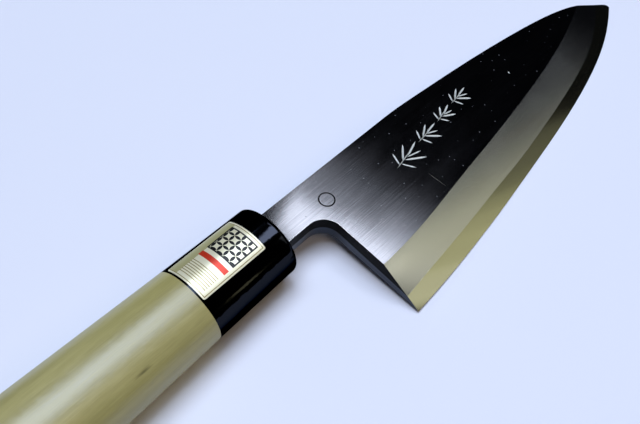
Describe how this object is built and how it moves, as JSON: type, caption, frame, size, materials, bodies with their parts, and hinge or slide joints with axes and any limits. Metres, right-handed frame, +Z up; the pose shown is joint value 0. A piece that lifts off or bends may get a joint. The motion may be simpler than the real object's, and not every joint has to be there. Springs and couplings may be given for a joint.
{
  "type": "deba knife",
  "caption": "Thick single bevel kitchen knife with a laminated blade, hollow ground back, oval wooden handle and moulded black collar, lying flat side up.",
  "frame": {"origin": "centre of the footprint on the table, as the knife lies at rest", "axes": "+X along the handle towards the point, +Y towards the spine, +Z up from the table"},
  "size_m": [0.3358, 0.067, 0.0283],
  "materials": {
    "soft_iron": "ground and polished, fine lines along the blade",
    "hard_steel": "honed, brighter than the soft iron",
    "magnolia_wood": "sanded, unvarnished, straight grain",
    "black_collar": "moulded, high gloss",
    "setting_resin": "poured, dull",
    "foil": "printed metallised foil"
  },
  "bodies": {
    "root": {"blade_cladding": "soft_iron", "edge_steel": "hard_steel", "handle": "magnolia_wood", "ferrule": "black_collar", "tang_resin": "setting_resin", "foil_label": "foil"}
  },
  "joints": []
}
